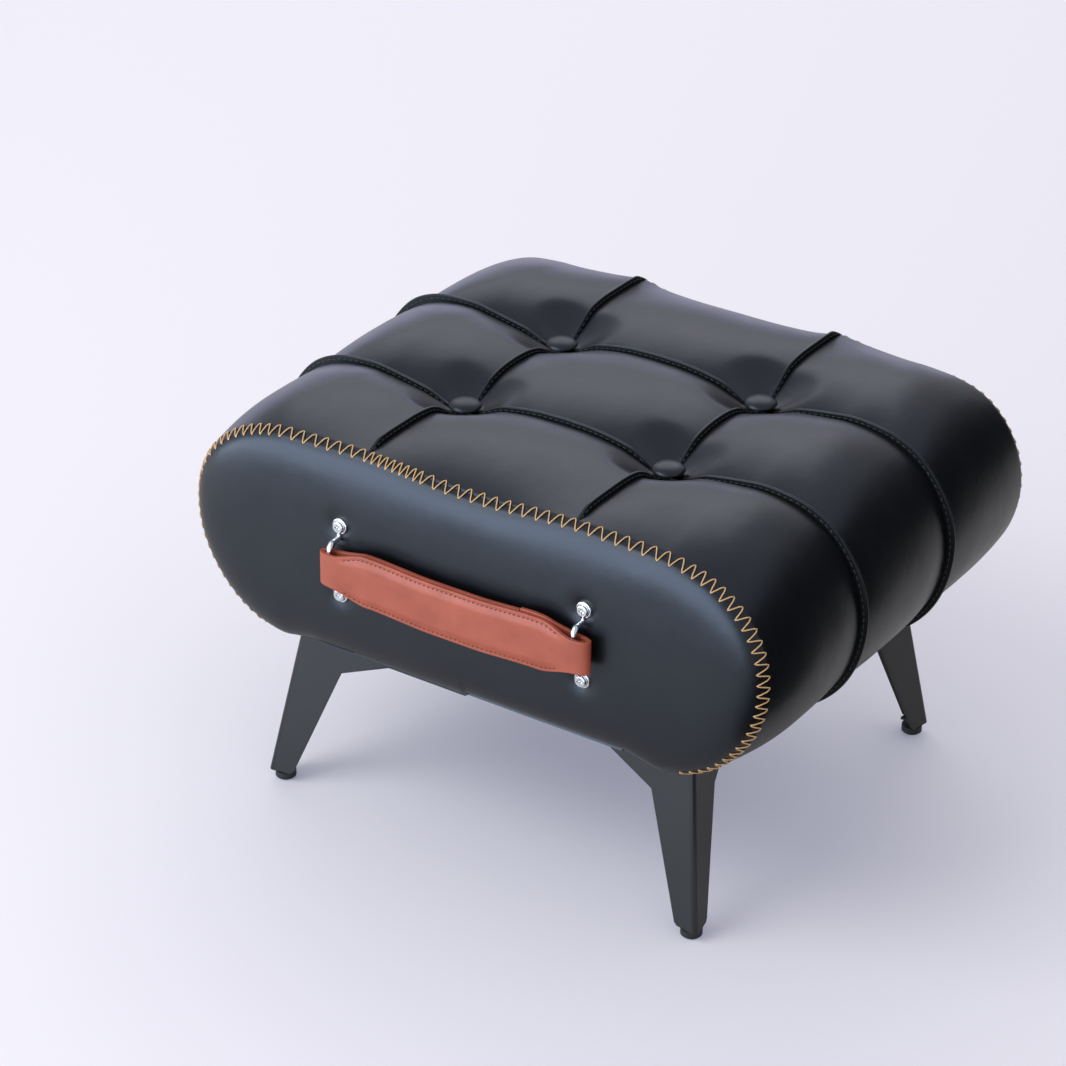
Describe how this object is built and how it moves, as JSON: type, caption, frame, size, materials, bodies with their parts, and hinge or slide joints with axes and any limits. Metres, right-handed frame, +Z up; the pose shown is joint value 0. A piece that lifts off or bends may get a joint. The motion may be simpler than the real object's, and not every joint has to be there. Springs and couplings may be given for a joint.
{
  "type": "shoe fitting stool",
  "caption": "Low tufted leather stool with round ends on splayed folded steel legs with levelling feet and a leather strap handle.",
  "frame": {"origin": "on the floor, under the middle of the stool's bounding box", "axes": "+X along the width, -Y towards the side with the strap handle, +Z up"},
  "size_m": [0.438, 0.3576, 0.2818],
  "materials": {
    "black_leather": "smooth black leather, soft sheen",
    "tan_leather": "terracotta saddle leather, smooth, matt",
    "foam": "open cell foam",
    "plywood": "bare birch plywood",
    "black_steel": "satin black powder coat",
    "chrome": "bright chrome plate",
    "zinc_steel": "zinc plated steel",
    "black_nylon": "moulded black nylon",
    "twine": "waxed tufting twine",
    "dust_cloth": "black non-woven dust cloth"
  },
  "bodies": {
    "stool": {"base_board": "plywood", "top_board": "plywood", "front_board": "plywood", "back_board": "plywood", "left_rail": "plywood", "right_rail": "plywood", "middle_rib": "plywood", "top_foam": "foam", "left_foam": "foam", "right_foam": "foam", "front_pad": "foam", "back_pad": "foam", "cover_front_strip": "black_leather", "cover_middle_strip": "black_leather", "cover_back_strip": "black_leather", "front_panel": "black_leather", "back_panel": "black_leather", "front_pleat": "black_leather", "back_pleat": "black_leather", "left_pleat": "black_leather", "right_pleat": "black_leather", "tuft_buttons": "black_leather", "leg_front_left": "black_steel", "leg_front_right": "black_steel", "leg_back_left": "black_steel", "leg_back_right": "black_steel", "nut_plates": "black_steel", "weld_nuts": "black_steel", "button_shanks": "zinc_steel", "anchor_washers": "zinc_steel", "frame_screws": "zinc_steel", "t_nuts": "zinc_steel", "staples": "zinc_steel", "leg_screws": "zinc_steel", "tufting_twines": "twine", "dust_cover": "dust_cloth", "footman_loop_left": "chrome", "footman_loop_right": "chrome", "loop_screws": "chrome"},
    "handle": {"handle_strap": "tan_leather", "strap_filler": "tan_leather"},
    "foot_front_left": {"foot_pad_front_left": "black_nylon", "foot_stud_front_left": "zinc_steel"},
    "foot_front_right": {"foot_pad_front_right": "black_nylon", "foot_stud_front_right": "zinc_steel"},
    "foot_back_left": {"foot_pad_back_left": "black_nylon", "foot_stud_back_left": "zinc_steel"},
    "foot_back_right": {"foot_pad_back_right": "black_nylon", "foot_stud_back_right": "zinc_steel"}
  },
  "joints": [
    {"name": "handle_slide", "type": "slide", "parent": "stool", "child": "handle", "axis": [0, 0, 1], "range_m": [0, 0.006]},
    {"name": "foot_front_left_screw", "type": "slide", "parent": "stool", "child": "foot_front_left", "axis": [0, 0, -1], "range_m": [0, 0.006]},
    {"name": "foot_front_right_screw", "type": "slide", "parent": "stool", "child": "foot_front_right", "axis": [0, 0, -1], "range_m": [0, 0.006]},
    {"name": "foot_back_left_screw", "type": "slide", "parent": "stool", "child": "foot_back_left", "axis": [0, 0, -1], "range_m": [0, 0.006]},
    {"name": "foot_back_right_screw", "type": "slide", "parent": "stool", "child": "foot_back_right", "axis": [0, 0, -1], "range_m": [0, 0.006]}
  ]
}
